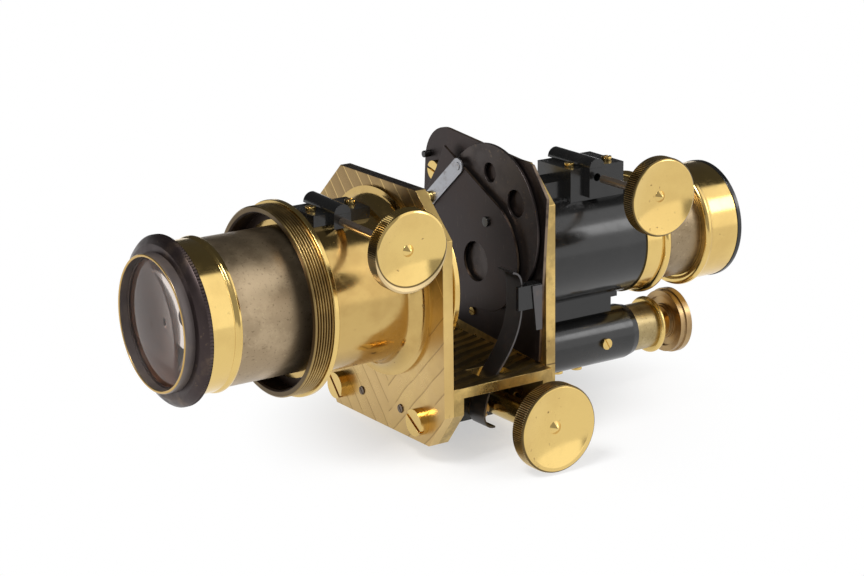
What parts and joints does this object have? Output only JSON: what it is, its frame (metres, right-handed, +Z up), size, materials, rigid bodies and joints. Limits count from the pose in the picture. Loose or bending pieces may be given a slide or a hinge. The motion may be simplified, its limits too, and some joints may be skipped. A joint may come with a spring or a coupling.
{
  "type": "lantern microscope attachment",
  "caption": "Projection microscope attachment for a magic lantern: racked condenser, open stage with diaphragm wheel, and a focusing body with a racked projection tube.",
  "frame": {"origin": "on the optical axis, halfway along the thread of the collar that screws into the lantern", "axes": "+X along the optical axis towards the projection lens, +Z up, -Y on the side of the knobs"},
  "size_m": [0.2951, 0.1222, 0.1331],
  "materials": {
    "polished_brass": "polished, lightly tarnished",
    "dull_brass": "dull, browned by handling",
    "dark_bronze": "dark bronzed, worn at the edges",
    "black_lacquer": "black lacquer, semi-gloss",
    "steel": "blued and worn",
    "copper_bronze": "coppery bronze, satin",
    "lens_glass": "clear"
  },
  "bodies": {
    "frame": {"front_plate": "polished_brass", "bridge_bracket": "polished_brass", "rear_plate": "polished_brass", "condenser_jacket": "polished_brass", "lantern_collar": "dark_bronze", "tail_ring": "dull_brass", "front_pinion_box": "black_lacquer", "front_pinion_cap": "black_lacquer", "front_box_screws": "polished_brass", "front_plate_screws": "polished_brass", "front_plate_pins": "polished_brass", "rear_plate_screws": "polished_brass", "stage_plate": "black_lacquer", "stage_plate_screw": "polished_brass", "stage_stop_peg": "black_lacquer", "cover_plate": "black_lacquer", "cover_posts": "black_lacquer", "cover_screws": "polished_brass", "wheel_pivot": "black_lacquer", "detent_spring": "steel", "detent_rivet": "steel", "detent_screw": "polished_brass", "clip_block": "black_lacquer", "clip_pivot": "steel", "pressure_leaf": "steel", "slide_block": "black_lacquer", "pinion_sleeve": "polished_brass", "tension_screw": "copper_bronze"},
    "wheel": {"diaphragm_wheel": "dark_bronze"},
    "clip": {"slide_clip": "steel"},
    "condenser": {"condenser_tube": "dull_brass", "condenser_rack": "dull_brass", "condenser_cell": "polished_brass", "lens_ring": "dark_bronze", "lens_bezel": "polished_brass", "condenser_lens": "lens_glass", "condenser_back_lens": "lens_glass"},
    "condenser_pinion": {"front_pinion": "steel", "front_knob": "polished_brass"},
    "limb": {"limb_tube": "dull_brass", "limb_flange": "polished_brass"},
    "coarse_drive": {"coarse_pinion": "steel", "coarse_knob": "polished_brass"},
    "focusing_body": {"body_casting": "black_lacquer", "nosepiece": "polished_brass", "objective": "polished_brass", "rear_pinion_box": "black_lacquer", "rear_pinion_cap": "black_lacquer", "rear_box_screws": "polished_brass", "body_collar": "polished_brass", "drive_nut": "polished_brass", "body_screws": "polished_brass"},
    "fine_drive": {"fine_spindle": "polished_brass", "fine_head": "copper_bronze"},
    "projector": {"draw_tube": "dull_brass", "draw_rack": "dull_brass", "projection_cell": "polished_brass", "projection_rim": "black_lacquer", "projection_lens": "lens_glass"},
    "projector_pinion": {"rear_pinion_set": "polished_brass"}
  },
  "joints": [
    {"name": "condenser_pinion_turn", "type": "hinge", "parent": "frame", "child": "condenser_pinion", "pos_m": [0.0258, -0.00125, 0.03413], "axis": [0, -0.9993, -0.0366], "range_deg": [-191.5, 248.8]},
    {"name": "condenser_slide", "type": "slide", "parent": "frame", "child": "condenser", "axis": [1, 0, 0], "range_m": [-0.01, 0.013]},
    {"name": "wheel_turn", "type": "hinge", "parent": "frame", "child": "wheel", "pos_m": [0.1076, -0.00859, 0.02004], "axis": [1, 0, 0], "continuous": true},
    {"name": "clip_turn", "type": "hinge", "parent": "frame", "child": "clip", "pos_m": [0.1015, -0.0395, -0.0062], "axis": [0, 1, 0], "range_deg": [-3, 3], "stiffness_Nm_per_rad": 0.3},
    {"name": "coarse_turn", "type": "hinge", "parent": "frame", "child": "coarse_drive", "pos_m": [0.0982, -0.03, -0.058], "axis": [0, 1, 0], "range_deg": [-1, 301]},
    {"name": "limb_slide", "type": "slide", "parent": "frame", "child": "limb", "axis": [1, 0, 0], "range_m": [0, 0.022]},
    {"name": "fine_turn", "type": "hinge", "parent": "limb", "child": "fine_drive", "pos_m": [0.2082, 0, -0.0468], "axis": [1, 0, 0], "range_deg": [-182, 722]},
    {"name": "fine_slide", "type": "slide", "parent": "limb", "child": "focusing_body", "axis": [1, 0, 0], "range_m": [-0.0005, 0.002]},
    {"name": "projector_pinion_turn", "type": "hinge", "parent": "focusing_body", "child": "projector_pinion", "pos_m": [0.1602, -0.03, 0.0335], "axis": [0, -1, 0], "range_deg": [-161.5, 66]},
    {"name": "projector_slide", "type": "slide", "parent": "focusing_body", "child": "projector", "axis": [1, 0, 0], "range_m": [-0.0118, 0.0048]}
  ],
  "couplings": [
    {"joint": "condenser_pinion_turn", "follows": "condenser_slide", "rad_per_m": 333.33},
    {"joint": "coarse_turn", "follows": "limb_slide", "rad_per_m": 238.1},
    {"joint": "fine_turn", "follows": "fine_slide", "rad_per_m": 6283.2},
    {"joint": "projector_pinion_turn", "follows": "projector_slide", "rad_per_m": 238.1}
  ]
}
